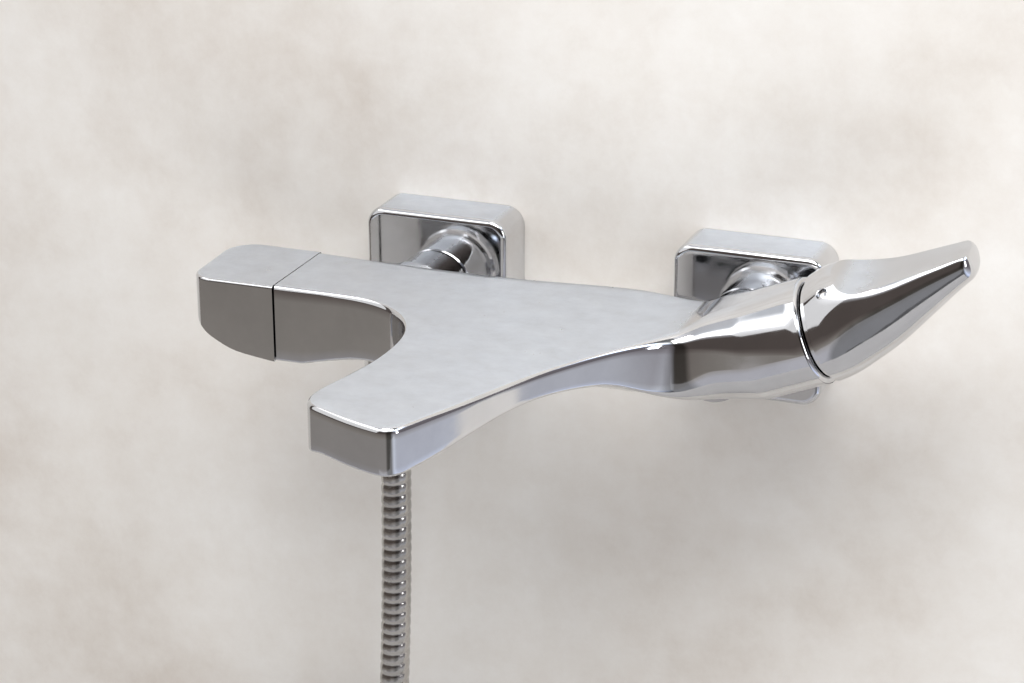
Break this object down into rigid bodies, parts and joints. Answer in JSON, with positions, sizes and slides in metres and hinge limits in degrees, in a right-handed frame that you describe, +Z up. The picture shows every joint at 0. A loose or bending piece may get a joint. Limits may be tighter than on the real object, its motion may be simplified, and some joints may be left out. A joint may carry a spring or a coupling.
{
  "type": "wall mounted bath faucet",
  "caption": "Single-lever wall bath mixer: fish-tail spout, tilted lever barrel, diverter knob, square escutcheons and a corrugated shower hose with its put-away coil.",
  "frame": {"origin": "on the wall plane, midway between the two wall inlets and on their axis", "axes": "+X to the right seen from the front, +Y into the wall, +Z up; the spout points to -Y"},
  "size_m": [0.3463, 0.2551, 0.5132],
  "materials": {
    "chrome": "polished",
    "steel_hose": "corrugated, polished",
    "brass": "machined",
    "steel": "satin",
    "rubber": "matte",
    "ceramic": "lapped",
    "tie_plastic": "matte",
    "plastic": "matte"
  },
  "bodies": {
    "fixed": {"aerator_housing": "chrome", "aerator_insert": "plastic", "aerator_washer": "rubber", "body": "chrome", "cartridge_base": "plastic", "cartridge_fixed_disc": "ceramic", "cartridge_housing": "plastic", "cartridge_nut": "brass", "cartridge_seals": "rubber", "check_valve_cage": "plastic", "check_valve_spring": "steel", "cover_ring": "chrome", "end_swivel_cone": "chrome", "end_washer": "rubber", "escutcheon_gasket_left": "rubber", "escutcheon_gasket_right": "rubber", "escutcheon_left": "chrome", "escutcheon_right": "chrome", "filter_washer_left": "rubber", "filter_washer_right": "rubber", "headwork_end_seal": "rubber", "headwork_fixed_disc": "ceramic", "headwork_housing": "brass", "hose_coil": "steel_hose", "hose_ferrule": "brass", "hose_nut": "chrome", "hose_tail": "steel_hose", "hose_tie": "tie_plastic", "hose_tube": "steel_hose", "hose_washer": "rubber", "inlet_tailpiece_left": "brass", "inlet_tailpiece_right": "brass", "outlet_nipple": "chrome", "union_nut_left": "chrome", "union_nut_right": "chrome", "wall_union_left": "brass", "wall_union_right": "brass"},
    "diverter": {"diverter_knob": "chrome", "knob_screw": "steel", "headwork_spindle": "brass", "headwork_turning_disc": "ceramic", "headwork_spindle_seal": "rubber"},
    "cartridge_turn": {"cartridge_rotor": "plastic", "pivot_pin": "steel"},
    "disc_slide_set": {"cartridge_moving_disc": "ceramic", "disc_carrier": "plastic"},
    "lever": {"lever_handle": "chrome", "lever_stem": "steel", "lever_screw": "steel", "index_plug": "chrome"},
    "check_poppet": {"check_valve_poppet": "plastic"}
  },
  "joints": [
    {"name": "diverter_turn", "type": "hinge", "parent": "fixed", "child": "diverter", "pos_m": [-0.1175, -0.083, 0.00425], "axis": [1, 0, 0], "range_deg": [0, 90]},
    {"name": "lever_turn", "type": "hinge", "parent": "fixed", "child": "cartridge_turn", "pos_m": [0.123, -0.082, 0.023], "axis": [0.9135, 0, 0.4067], "range_deg": [-50, 50]},
    {"name": "lever_lift", "type": "hinge", "parent": "cartridge_turn", "child": "lever", "pos_m": [0.11204, -0.082, 0.01812], "axis": [0, -1, 0], "range_deg": [0, 25]},
    {"name": "disc_slide", "type": "slide", "parent": "cartridge_turn", "child": "disc_slide_set", "axis": [0.4067, 0, -0.9135], "range_m": [0, 0.0035]},
    {"name": "poppet_lift", "type": "slide", "parent": "fixed", "child": "check_poppet", "axis": [0, 0, -1], "range_m": [0, 0.003], "stiffness_N_per_m": 300, "springref_m": -0.003, "deforming": ["check_valve_spring"]}
  ],
  "couplings": [
    {"joint": "disc_slide", "follows": "lever_lift", "m_per_rad": 0.0078}
  ]
}
